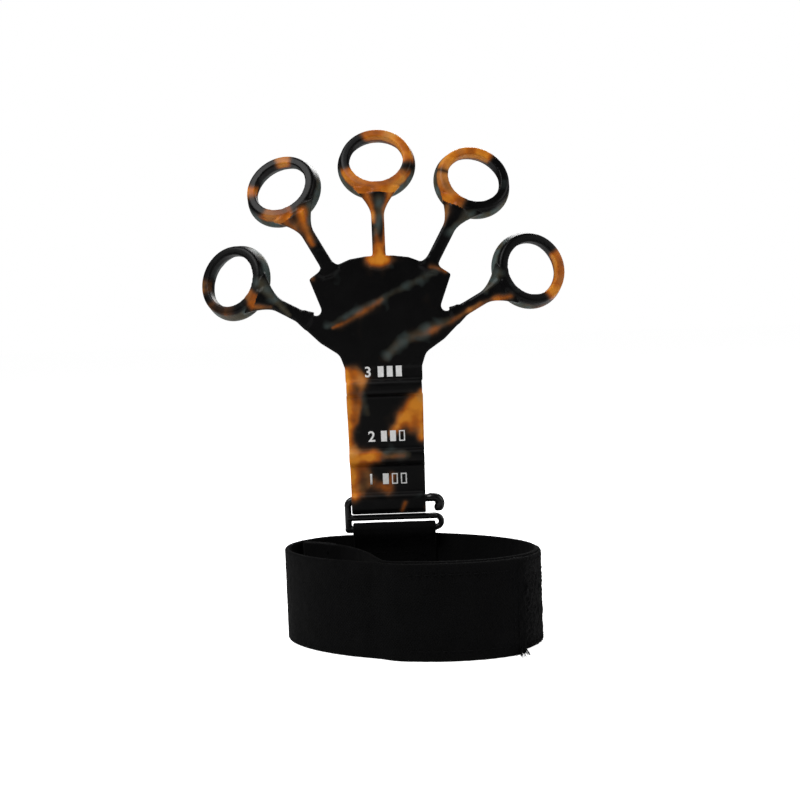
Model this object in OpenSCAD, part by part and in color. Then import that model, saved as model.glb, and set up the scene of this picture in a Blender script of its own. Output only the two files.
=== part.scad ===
// Finger exerciser: an elastic hand-shaped web with five finger loops, held to a
// hook-and-loop wrist strap by a plastic hook buckle.
// Millimetres, +Z up, X across the hand, -Y is the front of the web.
// The strap stands on its edge on z = 0 and the origin is the middle of the outer box.

/* [Web] */
// Width of the band
band_w = 31.6; // [28:0.2:34]
// Thickness of the band
band_t = 2.8; // [2.4:0.1:3.2]
// Thickness of the palm
palm_t = 3.2; // [2.8:0.1:3.6]
// Width of a finger stem
stem_w = 5.2; // [4.4:0.1:5.6]
// Thickness of a finger stem
stem_t = 4.4; // [4:0.1:4.8]
// Direction of the two upper outer fingers above the X axis
upper_angle = 61; // [58:1:63]
// Direction of the two lower outer fingers above the X axis
lower_angle = 29; // [27:1:31]

/* [Finger loops] */
// Radius of the finger hole at its front edge
hole_r = 11; // [10:0.25:11.5]
// Radius of the finger hole at its back edge
hole_back_r = 13; // [12:0.25:13.2]
// Outer radius of a loop at its front edge
loop_front_r = 14.4; // [14:0.1:14.8]
// Largest outer radius of a loop
loop_r = 16.2; // [15.4:0.1:16.6]
// Length of a loop along its axis
loop_len = 7; // [6:0.5:8]

/* [Tunnels] */
// Width of each tunnel's slot, front to back
slot_t = 4.5; // [4.3:0.1:5]
// Height of a spare tunnel's slot
slot_h = 4.6; // [4.4:0.1:5.4]
// Height of the lowest tunnel's slot, which the pull of the hook keeps open
hook_slot_h = 6.6; // [6:0.1:6.8]
// Wall around a slot
slot_wall = 1.1; // [1:0.1:1.4]
// Heights of the two spare tunnels
spare_tunnels = [69.1, 97.5];

/* [Buckle] */
// Radius of the hook bar
hook_r = 1.6; // [1.5:0.1:1.7]
// Height of the hook bar
hook_z = 51.5; // [51.4:0.1:52]
// Radius of the lower bar that the webbing tab holds
pin_r = 1.5; // [1.3:0.1:1.6]
// Height of the lower bar
pin_z = 39.3; // [39:0.1:39.4]

/* [Wrist strap] */
// Height of the strap webbing as it stands on edge
strap_h = 36.2; // [34:0.2:38]
// Thickness of the webbing
web_ply = 1.7; // [1.4:0.1:2]
// Half length of the wrist oval
oval_a = 49.8; // [48:0.2:52]
// Half depth of the wrist oval
oval_b = 25.9; // [25:0.1:27]
// Turn of the oval against the web
oval_turn = -12; // [-14:1:-8]
// Thickness of the loop pile
pile_ply = 0.8; // [0.6:0.1:1]
// Thickness of the hook patch
hook_ply = 0.8; // [0.6:0.1:1]

/* [Hidden] */
$fn = 48;
gap = 0.3;              // clearance between parts that move on each other

// the web's plane, and the point that the fingers fan out from
web_y = 17;
fan_z = 109.5;
neck_z = 106;           // where the palm becomes the band
edge_r = 1;             // rounding of small outline corners

// fingers: [direction, stem start from the fan point, loop neck from the fan point, loop's lean]
finger_thumb  = [180 - lower_angle, 40.5, 55.8, 28];
finger_index  = [180 - upper_angle, 47.0, 67.1, 29];
finger_middle = [90, 44.0, 66.0, 26];
finger_ring   = [upper_angle, 47.0, 67.1, 26];
finger_little = [lower_angle, 40.5, 55.8, 22];
FINGERS = [finger_thumb, finger_index, finger_middle, finger_ring, finger_little];
flare_len = 8;          // length of the flare between stem and loop
neck_len = 1.6;         // straight neck on the loop's side of the stem
root_gap = stem_t / 2 + gap + 0.05;

// heights of the band
hook_slot_top = hook_z + hook_r + 0.25;
hook_tunnel_z = hook_slot_top - hook_slot_h / 2;
tunnel_t = slot_t + 2 * slot_wall;
tunnel_round = 2.4;
band_low_w = band_w - 1.2;

// buckle
limb_r = 1.4;
limb_x = -17;
crook_x = 18.6;
crook_r = 2.4;
bend_r = 2.4;           // of the buckle's upper left corner
loop_end_r = 1.2;       // bar radius of the round end
tip_angle = -42;        // where the crook ends
slot_bar_z = 44.05;
slot_bar_h = 2.3;
slot_bar_t = 3;
loop_end_x = 19;
lap = 0.2;              // by which bars run on into the bends

// webbing tab
tab_w = 34;
tab_x = 1.9;
tab_ply = 1.1;
tab_foot_z = 8;
rear_y = 5;             // outer face of the strap's flat rear wall, from the web's plane
tab_back_y = rear_y - web_ply;

// wrist oval; angles run 0 right, 90 rear, 180 left, 270 front
oval_x = 8.5;
oval_y = -20.35;
lap_gap = gap;          // room between the pile and the hook patch
outer_in = pile_ply + lap_gap + hook_ply;
leave_u = -92;          // where the inner lap leaves the wall
peel_u = 268;           // where the free end begins
end_u = 328;            // where the free end stops
lift = gap;             // free end clears the floor by this much
step_u = 4;             // degrees between outline points, shared by layers that touch

// ---- outlines -----------------------------------------------------------------

function polar(r, a) = [r * cos(a), r * sin(a)];
function unit(v) = v / norm(v);

// a round corner of radius r at b, between the edges from a and to c
function corner(a, b, c, r, n = 6) =
    let (u = unit(a - b), v = unit(c - b), half = acos(u * v) / 2,
         reach = r / tan(half), m = b + unit(u + v) * r / sin(half),
         p = b + u * reach, q = b + v * reach,
         s = atan2(p[1] - m[1], p[0] - m[0]), e = atan2(q[1] - m[1], q[0] - m[0]),
         turn = e - s > 180 ? e - s - 360 : e - s < -180 ? e - s + 360 : e - s)
    [for (i = [0 : n]) m + polar(r, s + turn * i / n)];

// an outline from [x, y, corner radius] points
function rounded(pts) = [for (i = [0 : len(pts) - 1])
    let (n = len(pts), a = pts[(i + n - 1) % n], b = pts[i], c = pts[(i + 1) % n])
    each b[2] > 0 ? corner([a[0], a[1]], [b[0], b[1]], [c[0], c[1]], b[2]) : [[b[0], b[1]]]];

function mirrored(pts) = [for (i = [len(pts) - 1 : -1 : 0]) [-pts[i][0], pts[i][1], pts[i][2]]];

// a point beside a finger's line, from the fan point
function beside(dist, a, side) = [0, fan_z] + polar(dist, a) + polar(side, a + 90);
function round_at(p, r) = [p[0], p[1], r];

module rounded_box(w, h, r) {
    square([w - 2 * r, h], center = true);
    square([w, h - 2 * r], center = true);
    for (x = [-1, 1], y = [-1, 1])
        translate([x * (w / 2 - r), y * (h / 2 - r)]) circle(r);
}

// draws an XZ outline as a plate of thickness t, centred on the web's plane
module plate(t) translate([0, web_y + t / 2, 0]) rotate([90, 0, 0]) linear_extrude(t) children();

// ---- web ------------------------------------------------------------------------

// stub edges where the fingers' stems begin
thumb_cut = FINGERS[4][1] - root_gap;
index_cut = FINGERS[3][1] - root_gap;
middle_cut = FINGERS[2][1] - root_gap;

// right half of the palm's outline, from its top to its neck
palm_half = [
    [stem_w / 2 + 3, fan_z + middle_cut, 0],
    [12, fan_z + middle_cut - 0.9, 6],
    [17, 148, 1.6],
    round_at(beside(index_cut, upper_angle, stem_w / 2), 0),
    round_at(beside(index_cut, upper_angle, -stem_w / 2), 0),
    [24.4, 145.6, edge_r],
    [28.8, 142.6, edge_r],
    [21.8, 123.6, 2.2],
    round_at(beside(thumb_cut - 1, lower_angle, stem_w / 2 + 0.8), 0.6),
    round_at(beside(thumb_cut, lower_angle, stem_w / 2), 0),
    round_at(beside(thumb_cut, lower_angle, -stem_w / 2), 0),
    [25.3, 116.6, 8],
    [17.6, 111.4, 5],
    [band_w / 2, neck_z, 0]];

module palm_fan() color("#1d1b1a") {
    plate(palm_t) polygon(rounded(concat(palm_half, mirrored(palm_half))));
    // a thicker pad under each stem's root
    for (f = FINGERS) plate(stem_t) intersection() {
        translate(beside(f[1] - root_gap, f[0], 0)) circle(stem_w / 2 + 2.6);
        translate([0, fan_z]) rotate(f[0]) translate([0, -stem_w]) square([f[1] - root_gap, 2 * stem_w]);
        polygon(rounded(concat(palm_half, mirrored(palm_half))));
    }
}

module tunnel(z, w, h) translate([-w / 2, web_y, z]) rotate([90, 0, 90]) linear_extrude(w) difference() {
    rounded_box(tunnel_t, h + 2 * slot_wall, tunnel_round);
    rounded_box(slot_t, h, 0.8);
}

module resistance_band() color("#c9741f") {
    difference() {
        plate(band_t) polygon([[-band_w / 2, neck_z], [band_w / 2, neck_z],
            [band_low_w / 2, hook_tunnel_z], [-band_low_w / 2, hook_tunnel_z]]);
        translate([0, web_y, hook_tunnel_z]) cube([2 * band_w, tunnel_t, hook_slot_h + slot_wall], center = true);
        for (z = spare_tunnels)
            translate([0, web_y, z]) cube([2 * band_w, tunnel_t, slot_h + slot_wall], center = true);
    }
    tunnel(hook_tunnel_z, band_low_w, hook_slot_h);
    for (z = spare_tunnels) tunnel(z, band_w - 0.6, slot_h);
}

// places its children with X along a finger, Y to the back, at a distance from the fan point
module along(f, dist) translate([0, web_y, fan_z]) rotate([0, -f[0], 0]) translate([dist, 0, 0]) children();

module stem_section(len) rotate([90, 0, 90]) linear_extrude(len) rounded_box(stem_t, stem_w, 1.3);

module stem(f) along(f, f[1]) {
    stem_section(f[2] - flare_len - neck_len - gap - f[1]);
    cylinder(h = stem_w, r = stem_t / 2, center = true);
}

module stem_thumb() color("#2b2a27") stem(finger_thumb);
module stem_index() color("#3a2a1a") stem(finger_index);
module stem_middle() color("#3a2a1a") stem(finger_middle);
module stem_ring() color("#1d1b1a") stem(finger_ring);
module stem_little() color("#6b4420") stem(finger_little);

// section of a loop: x is the radius, y runs from its back to its front
loop_wall = [
    [hole_back_r - 1, -loop_len / 2, 0],
    [loop_r - 0.6, -loop_len / 2, 1.1],
    [loop_r, -loop_len / 4, 2.5],
    [loop_front_r, loop_len / 2, 1.3],
    [hole_r - 1, loop_len / 2, 0]];

// the loop leans back from its neck, and its axis points to the front
module leaning(f) rotate([0, 0, f[3]]) translate([loop_r - 0.6, 0.6, 0]) rotate([90, 0, 0]) children();

module finger_loop(f) along(f, f[2]) {
    difference() {
        union() {
            leaning(f) rotate_extrude($fn = 96) polygon(rounded(loop_wall));
            // flare from the stem into the loop's wall, and the ridge along it
            rotate([90, 0, 0]) linear_extrude(2.8, center = true) polygon(concat(
                [for (i = [0 : 8]) [3 - (flare_len + 3) * i / 8, stem_w / 2 + 7 * pow(1 - i / 8, 1.6)]],
                [for (i = [8 : -1 : 0]) [3 - (flare_len + 3) * i / 8, -stem_w / 2 - 7 * pow(1 - i / 8, 1.6)]]));
            translate([-flare_len - neck_len, 0, 0]) stem_section(flare_len + neck_len + 2);
        }
        leaning(f) {
            cylinder(h = 3 * loop_len, r = hole_r, center = true, $fn = 96);
            translate([0, 0, -loop_len / 2 - 0.5])
                cylinder(h = loop_len / 2 + 0.5, r1 = hole_back_r, r2 = hole_r, $fn = 96);
            translate([0, 0, -3 * loop_len]) cylinder(h = 2.5 * loop_len - 0.4, r = hole_back_r, $fn = 96);
        }
    }
}

module loop_thumb() color("#4a4a44") finger_loop(finger_thumb);
module loop_index() color("#8a5a24") finger_loop(finger_index);
module loop_middle() color("#c9741f") finger_loop(finger_middle);
module loop_ring() color("#b0802c") finger_loop(finger_ring);
module loop_little() color("#c9741f") finger_loop(finger_little);

// ---- buckle -----------------------------------------------------------------------

module bar_x(x0, x1, z, r) translate([x0, web_y, z]) rotate([0, 90, 0]) cylinder(h = x1 - x0, r = r);

// an arc of round bar in the buckle's plane
module bent_bar(x, z, bend_r, r, from, turn) translate([x, web_y, z]) rotate([90, 0, 0])
    rotate([0, 0, from]) rotate_extrude(angle = turn) translate([bend_r, 0]) circle(r);

module hook_buckle() color("#141414") {
    // hook bar, its open crook and round tip
    bar_x(limb_x + bend_r - lap, crook_x + lap, hook_z, hook_r);
    bent_bar(crook_x, hook_z - crook_r, crook_r, hook_r - 0.05, tip_angle, 90 - tip_angle);
    translate([crook_x, web_y, hook_z - crook_r])
        translate([crook_r * cos(tip_angle), 0, crook_r * sin(tip_angle)]) sphere(hook_r - 0.15);
    // upright limb, which bends over into the hook bar
    bent_bar(limb_x + bend_r, hook_z - bend_r, bend_r, (limb_r + hook_r) / 2, 90, 90);
    translate([limb_x, web_y, pin_z]) cylinder(h = hook_z - bend_r - pin_z + lap, r = limb_r);
    translate([limb_x, web_y, pin_z]) sphere(pin_r);
    // lower bar, the bar that closes its slot, and the round end between them
    bar_x(limb_x, loop_end_x + lap, pin_z, pin_r);
    bent_bar(loop_end_x, (pin_z + slot_bar_z) / 2, (slot_bar_z - pin_z) / 2, loop_end_r, -90, 180);
    translate([limb_x, web_y, slot_bar_z]) rotate([90, 0, 90])
        linear_extrude(loop_end_x + lap - limb_x) rounded_box(slot_bar_t, slot_bar_h, 0.8);
}

// ---- webbing tab --------------------------------------------------------------------

// folded webbing round the lower bar; its section is drawn with x to the back and y up
module tab_section() difference() {
    union() {
        circle(pin_r + 0.1 + tab_ply);
        polygon([[-2.6, -0.8], [tab_back_y - 2 * tab_ply, -6],
            [tab_back_y - 2 * tab_ply, tab_foot_z - pin_z], [tab_back_y, tab_foot_z - pin_z],
            [tab_back_y, -2.6], [2.5, 1]]);
    }
    circle(pin_r + 0.1);
}

// its foot lies flat on the strap's inner face, to which it is sewn
module buckle_tab() color("#1a1a1c") difference() {
    translate([tab_x - tab_w / 2, web_y, pin_z]) rotate([90, 0, 90]) linear_extrude(tab_w) tab_section();
    layer(48, 128, -web_ply, 1, 0, strap_h);
}

// a line of separate stitches along X or Z on the tab's inner face
module stitch_box(size) {
    pitch = 3;
    for (x = [-size[0] / 2 : pitch : size[0] / 2], z = [0, size[1]])
        translate([x, 0, z]) cube([2, 0.3, 0.5], center = true);
    for (z = [pitch : pitch : size[1] - pitch], x = [-size[0] / 2, size[0] / 2])
        translate([x, 0, z]) cube([0.5, 0.3, 2], center = true);
}

module tab_stitches() color("#2c2c30")
    translate([tab_x, web_y + tab_back_y - 2 * tab_ply - 0.15, tab_foot_z + 3]) stitch_box([24, 18]);

// ---- wrist strap ----------------------------------------------------------------------

function smin(a, b, k) = min(a, b) - pow(max(k - abs(a - b), 0) / k, 2) * k / 4;

// the strap's outer face as an oval, pressed flat where the tab is sewn
function oval(u) = let (p = [oval_a * cos(u), oval_b * sin(u)],
    x = oval_x + p[0] * cos(oval_turn) - p[1] * sin(oval_turn),
    y = oval_y + p[0] * sin(oval_turn) + p[1] * cos(oval_turn))
    [x, web_y + smin(y, rear_y, 2)];
function outward(u) = let (t = oval(u + 0.5) - oval(u - 0.5)) unit([t[1], -t[0]]);

// the webbing climbs from the wall onto its own second layer round the left end
function smooth(s) = let (c = max(0, min(1, s))) c * c * (3 - 2 * c);
function climb(u) = outer_in * smooth((u - 150) / 65);
function steps(a, b) = concat([for (u = [a : step_u : b - 0.01]) u], [b]);

// a layer of the strap between two angles, from one offset to another
module layer(a, b, inside, outside, low = 0, high = strap_h) {
    us = steps(a, b);
    translate([0, 0, low]) linear_extrude(high - low) polygon(concat(
        [for (u = us) oval(u) + (outside + climb(u)) * outward(u)],
        [for (i = [len(us) - 1 : -1 : 0]) oval(us[i]) + (inside + climb(us[i])) * outward(us[i])]));
}

module strap_webbing() color("#18181a") layer(leave_u, peel_u - 0.8, -web_ply, 0);

// inside, the strap's other end swings free of the wall in one easy curve
lap_start = oval(leave_u) - web_ply / 2 * outward(leave_u);
lap_lead = [outward(leave_u)[1], -outward(leave_u)[0]];   // runs on from the wall with no kink
lap_curve = [lap_start, lap_start + 9 * lap_lead, [-4, web_y - 17], [-33.8, web_y - 6]];
function bezier(c, t) = pow(1 - t, 3) * c[0] + 3 * t * pow(1 - t, 2) * c[1]
    + 3 * t * t * (1 - t) * c[2] + pow(t, 3) * c[3];
function bezier_side(c, t) = let (d = bezier(c, t + 0.01) - bezier(c, t - 0.01)) unit([d[1], -d[0]]);
function ribbon(c, t0, t1, half, n) = concat(
    [for (i = [0 : n]) let (t = t0 + (t1 - t0) * i / n) bezier(c, t) + half * bezier_side(c, t)],
    [for (i = [n : -1 : 0]) let (t = t0 + (t1 - t0) * i / n) bezier(c, t) - half * bezier_side(c, t)]);
hem_t = 0.84;

module inner_lap() color("#18181a") linear_extrude(strap_h) polygon(ribbon(lap_curve, 0, hem_t, web_ply / 2, 20));

// the inner end is folded back on itself and stitched
module inner_end_hem() color("#18181a") linear_extrude(strap_h) {
    polygon(ribbon(lap_curve, hem_t, 1, web_ply, 6));
    translate(bezier(lap_curve, 1)) circle(web_ply);
}

// loop pile on the outside of the right end and under the free end
module pile_facing() color("#242428") layer(leave_u + step_u, 40, 0, pile_ply, 1, strap_h - 1);

module stitch_row(a, b, face, z, du) for (u = [a : du : b]) translate(concat(oval(u) + (face + climb(u)) * outward(u), z))
    rotate(atan2(outward(u)[1], outward(u)[0])) cube([0.3, 2, 0.5], center = true);

module pile_stitches() color("#303034") for (z = [3, strap_h - 3]) stitch_row(-20, 37, pile_ply + 0.15, z, 6);

module strap_free_end() color("#18181a") layer(peel_u, end_u, 0, web_ply, lift);

// hook patch on the inner face of the free end
module hook_patch() color("#0e0e10") layer(peel_u + step_u, end_u - step_u, -hook_ply, 0, 2, strap_h - 2);

module patch_stitches() color("#303034")
    for (z = [4.5, strap_h - 4.5]) stitch_row(peel_u + 8, end_u - 4, web_ply + 0.15, z, 4);

// the outer end is bound so that it doesn't fray
module free_end_hem() color("#141416") layer(end_u, end_u + 2.4, -hook_ply / 2, web_ply + 0.3, lift);

palm_fan();
resistance_band();
stem_thumb();
stem_index();
stem_middle();
stem_ring();
stem_little();
loop_thumb();
loop_index();
loop_middle();
loop_ring();
loop_little();
hook_buckle();
buckle_tab();
tab_stitches();
strap_webbing();
inner_lap();
inner_end_hem();
pile_facing();
pile_stitches();
strap_free_end();
hook_patch();
patch_stitches();
free_end_hem();
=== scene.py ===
# Looks of a finger exerciser: marbled silicone web, glossy hook buckle and hook-and-loop wrist strap.
import math
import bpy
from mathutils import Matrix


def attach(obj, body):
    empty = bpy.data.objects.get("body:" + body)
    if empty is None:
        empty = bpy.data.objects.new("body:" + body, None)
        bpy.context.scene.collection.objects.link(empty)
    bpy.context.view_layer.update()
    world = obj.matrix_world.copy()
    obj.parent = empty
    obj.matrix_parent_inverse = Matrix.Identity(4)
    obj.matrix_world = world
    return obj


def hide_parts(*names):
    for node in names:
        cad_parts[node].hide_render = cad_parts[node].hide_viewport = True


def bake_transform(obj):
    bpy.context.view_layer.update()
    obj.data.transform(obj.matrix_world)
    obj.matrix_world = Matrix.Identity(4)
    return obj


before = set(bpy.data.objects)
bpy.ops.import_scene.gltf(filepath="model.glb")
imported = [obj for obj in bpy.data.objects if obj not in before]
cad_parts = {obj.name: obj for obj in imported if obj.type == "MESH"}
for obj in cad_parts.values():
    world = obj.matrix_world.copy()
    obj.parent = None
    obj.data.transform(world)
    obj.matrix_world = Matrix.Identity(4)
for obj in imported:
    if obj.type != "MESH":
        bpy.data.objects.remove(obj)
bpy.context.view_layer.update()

from types import SimpleNamespace

import bmesh
import bpy
import numpy as np
from mathutils import Matrix, Vector
from mathutils.bvhtree import BVHTree

MM = 0.001
scene = bpy.context.scene

# ---- camera ----
WEB_Y = 17.0            # the web's plane
CAMERA_AWAY = 390.0     # from the web's plane
CAMERA_X, CAMERA_Z = 6.2, 119.5
CAMERA_YAW, CAMERA_PITCH, CAMERA_ROLL = 1.2, 4.0, -2.2
CAMERA_LENS, SENSOR_W = 43.0, 36.0


def make_camera():
    yaw, pitch, roll = (math.radians(a) for a in (CAMERA_YAW, CAMERA_PITCH, CAMERA_ROLL))
    forward = Vector((-math.sin(yaw) * math.cos(pitch), math.cos(yaw) * math.cos(pitch), -math.sin(pitch)))
    right = forward.cross(Vector((0, 0, 1))).normalized()
    up = right.cross(forward)
    c, s = math.cos(roll), math.sin(roll)
    right, up = right * c + up * s, up * c - right * s
    cam = bpy.data.objects.new("camera", bpy.data.cameras.new("camera"))
    scene.collection.objects.link(cam)
    turn = Matrix((right, up, -forward)).transposed().to_4x4()
    x, y = CAMERA_X + CAMERA_AWAY * math.sin(yaw), WEB_Y - CAMERA_AWAY * math.cos(yaw)
    place = Vector((x, y, CAMERA_Z)) * MM
    cam.matrix_world = Matrix.Translation(place) @ turn
    cam.data.lens, cam.data.sensor_width = CAMERA_LENS, SENSOR_W
    cam.data.clip_start, cam.data.clip_end = 0.01, 20
    scene.camera = cam


make_camera()

# ---- the shape's numbers, as in the CAD source, in millimetres ----
FAN_Z = 109.5                   # height of the point that all fingers fan out from
STEM_W, STEM_T = 5.2, 4.4
LOOP_R, LOOP_LEN = 16.2, 7.0    # a loop's outer radius, and its length along the finger
FLARE = 8.0                     # between a stem and its loop
# direction, root and neck from the fan point, lean of the loop
FINGERS = {
    "thumb": (151, 40.5, 55.8, 28),
    "index": (119, 47.0, 67.1, 29),
    "middle": (90, 44.0, 66.0, 26),
    "ring": (61, 47.0, 67.1, 26),
    "little": (29, 40.5, 55.8, 22),
}
BAND_W, BAND_T, NECK_Z = 31.6, 2.8, 106.0       # the band runs into the palm at NECK_Z
PIN_Z, PIN_R = 39.3, 1.5                        # the buckle's lower bar
STRAP_H, PLY = 36.2, 1.7
PILE, HOOK_PLY, GAP = 0.8, 0.8, 0.3             # the two fastening tapes and the room between them
OVAL_A, OVAL_B, OVAL_TURN = 49.8, 25.9, -12.0   # half axes of the strap's oval, and its turn
OVAL_X, OVAL_Y, REAR_Y = 8.5, -20.35, 5.0       # its centre, and the flat of its rear, from the web
LEAVE_U, PEEL_U, END_U = -92.0, 268.0, 328.0    # angles: inner lap leaves, outer end peels, outer end stops
LIFT = 0.3                                      # of the binding over the floor
OUTER_IN = PILE + GAP + HOOK_PLY                # how far out the strap's outer end lies
STITCH, STITCH_PITCH, THREAD_R = 2.1, 3.0, 0.22


# ---- mesh helpers ----
def link(name, data):
    obj = bpy.data.objects.new(name, data)
    scene.collection.objects.link(obj)
    return obj


def quad_normals(co, quads):
    """Vertex normals of an array of quads."""
    n = np.cross(co[quads[:, 2]] - co[quads[:, 0]], co[quads[:, 3]] - co[quads[:, 1]])
    total = np.zeros_like(co)
    for k in range(4):
        np.add.at(total, quads[:, k], n)
    return total / np.maximum(np.linalg.norm(total, axis=1, keepdims=True), 1e-20)


def open_loops(faces):
    """The closed rings of edges that only one face uses, each as vertex numbers in the cap's own order."""
    once = {}
    for f in faces:
        for a, b in zip(f, (*f[1:], f[0])):
            if (b, a) in once:
                del once[(b, a)]
            else:
                once[(a, b)] = True
    after = {b: a for a, b in once}
    rings = []
    while after:
        start = next(iter(after))
        ring, at = [], start
        while at in after:
            ring.append(at)
            at = after.pop(at)
        if len(ring) > 2:
            rings.append(tuple(ring))
    return rings


def piece(name, co, faces, material, normals=None, fields=None, cap=True):
    """A smooth closed mesh from part of a larger one. It keeps the larger one's normals, so that no seam shows."""
    used = sorted({v for f in faces for v in f})
    slot_of = {v: i for i, v in enumerate(used)}
    faces = [tuple(slot_of[v] for v in f) for f in faces]
    walls = len(faces)
    if cap:
        faces = faces + open_loops(faces)
    mesh = bpy.data.meshes.new(name)
    points = co[used]
    mesh.from_pydata((points * MM).tolist(), [], faces)
    mesh.shade_smooth()
    own_fields = {key: values[used] for key, values in (fields or {}).items()}
    for key, values in {"rest": points * MM, **own_fields}.items():
        kind = "FLOAT_VECTOR" if values.ndim == 2 else "FLOAT"
        layer = mesh.attributes.new(key, kind, "POINT")
        layer.data.foreach_set("vector" if kind == "FLOAT_VECTOR" else "value", values.astype(np.float32).ravel())
    if normals is not None:
        own = normals[used]
        corner = []
        for i, f in enumerate(mesh.polygons):
            corner += [own[v] for v in f.vertices] if i < walls else [f.normal] * len(f.vertices)
        mesh.normals_split_custom_set([tuple(n) for n in corner])
    mesh.materials.append(material)
    return link(name, mesh)


def unit(v):
    return v / np.maximum(np.linalg.norm(v, axis=-1, keepdims=True), 1e-12)


def smoothstep(x):
    x = np.clip(x, 0, 1)
    return x * x * (3 - 2 * x)


# ---- materials ----
def new_material(name):
    mat = bpy.data.materials.new(name)
    mat.use_nodes = True
    tree = mat.node_tree
    shader = tree.nodes["Principled BSDF"]

    def feed(socket, value):
        if isinstance(value, bpy.types.NodeSocket):
            tree.links.new(value, socket)
        else:
            socket.default_value = value

    def node(kind, **values):
        made = tree.nodes.new(kind)
        for key, value in values.items():
            if key in made.inputs.keys():
                feed(made.inputs[key], value)
            else:
                setattr(made, key, value)
        return made

    def noise(at, scale, detail, rough=0.5):
        return node("ShaderNodeTexNoise", Vector=at, Scale=scale, Detail=detail, Roughness=rough).outputs

    def math_node(op, *values, kind="ShaderNodeMath", **more):
        made = node(kind, operation=op, **more)
        for i, v in enumerate(values):
            feed(made.inputs[i], v)
        return made.outputs[0]

    def ramp(value, stops):
        made = node("ShaderNodeValToRGB", Fac=value)
        while len(made.color_ramp.elements) < len(stops):
            made.color_ramp.elements.new(0.5)
        for element, (at, colour) in zip(made.color_ramp.elements, stops):
            element.position, element.color = at, (*colour, 1)
        return made.outputs["Color"]

    def mix(factor, a, b):
        made = node("ShaderNodeMix", data_type="RGBA")
        feed(made.inputs[0], factor)
        for i, v in ((6, a), (7, b)):
            feed(made.inputs[i], v if isinstance(v, bpy.types.NodeSocket) else (*v, 1))
        return made.outputs[2]

    def bump(height, strength, distance, under=None):
        made = node("ShaderNodeBump", Strength=strength, Distance=distance, Height=height)
        if under is not None:
            feed(made.inputs["Normal"], under)
        return made.outputs["Normal"]

    def field(name="rest"):
        return node("ShaderNodeAttribute", attribute_name=name).outputs

    def wire(**sockets):
        for key, value in sockets.items():
            feed(shader.inputs[key.replace("_", " ")], value)

    return mat, SimpleNamespace(node=node, noise=noise, math=math_node, ramp=ramp, mix=mix, bump=bump, field=field,
                                wire=wire)


def silicone_material():
    mat, n = new_material("marbled_silicone")
    at = n.field()["Vector"]
    warp = n.noise(at, 95.0, 1.0)
    moved = n.math("MULTIPLY_ADD", warp["Color"], (0.006, 0.006, 0.006), at, kind="ShaderNodeVectorMath")
    swirl = n.noise(moved, 150.0, 2.0, 0.45)
    amber = n.field("amber")["Fac"]
    # grey field: the marbling's grey streaks, and painted sheen on the loops' outer walls
    ash = n.field("ash")["Fac"]
    wobble = n.math("MULTIPLY", n.math("SUBTRACT", swirl["Fac"], 0.5), 0.75)
    warm = n.math("ADD", amber, wobble, use_clamp=True)
    colour = n.ramp(warm, [
        (0.12, (0.0016, 0.0015, 0.0016)), (0.28, (0.007, 0.0046, 0.0032)), (0.42, (0.030, 0.014, 0.007)),
        (0.56, (0.095, 0.036, 0.012)), (0.70, (0.24, 0.064, 0.010)), (0.86, (0.50, 0.128, 0.010)),
        (1.0, (0.74, 0.26, 0.022))])
    cool = n.noise(moved, 170.0, 1.0)
    tan = n.noise(moved, 110.0, 1.0)
    patches = n.ramp(tan["Fac"], [(0.52, (0, 0, 0)), (0.70, (1, 1, 1))])
    pale = n.math("MULTIPLY", patches, n.ramp(warm, [(0.45, (0, 0, 0)), (0.9, (0.4, 0.4, 0.4))]))
    colour = n.mix(pale, colour, (0.62, 0.33, 0.10))
    cloud = n.math("MULTIPLY", n.math("SUBTRACT", cool["Fac"], 0.5), 0.8)
    greyness = n.math("ADD", ash, cloud, use_clamp=True)
    # grey of the streaks, also used for the painted sheen on the loops
    grey = n.ramp(cool["Fac"], [(0.40, (0.098, 0.086, 0.056)), (0.62, (0.082, 0.108, 0.102))])
    share = n.ramp(greyness, [(0.15, (0, 0, 0)), (0.95, (1, 1, 1))])
    colour = n.mix(share, colour, grey)
    grain = n.noise(at, 2600.0, 2.0)
    handled = n.noise(at, 120.0, 4.0)
    rough = n.math("MULTIPLY_ADD", handled["Fac"], 0.22, 0.27)
    n.wire(Base_Color=colour, Roughness=rough, Specular_IOR_Level=0.14,
           Normal=n.bump(grain["Fac"], 0.12, 0.0001))
    return mat


def plastic_material():
    mat, n = new_material("black_moulded_plastic")
    at = n.node("ShaderNodeTexCoord").outputs["Object"]
    flow = n.noise(at, 180.0, 3.0)
    scuff = n.noise(at, 1400.0, 3.0)
    rough = n.math("MULTIPLY_ADD", flow["Fac"], 0.18, 0.20)
    colour = n.ramp(flow["Fac"], [(0.3, (0.003, 0.003, 0.0032)), (0.7, (0.006, 0.006, 0.0064))])
    n.wire(Base_Color=colour, Roughness=rough, Specular_IOR_Level=0.4,
           Normal=n.bump(scuff["Fac"], 0.06, 0.0001))
    return mat


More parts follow.
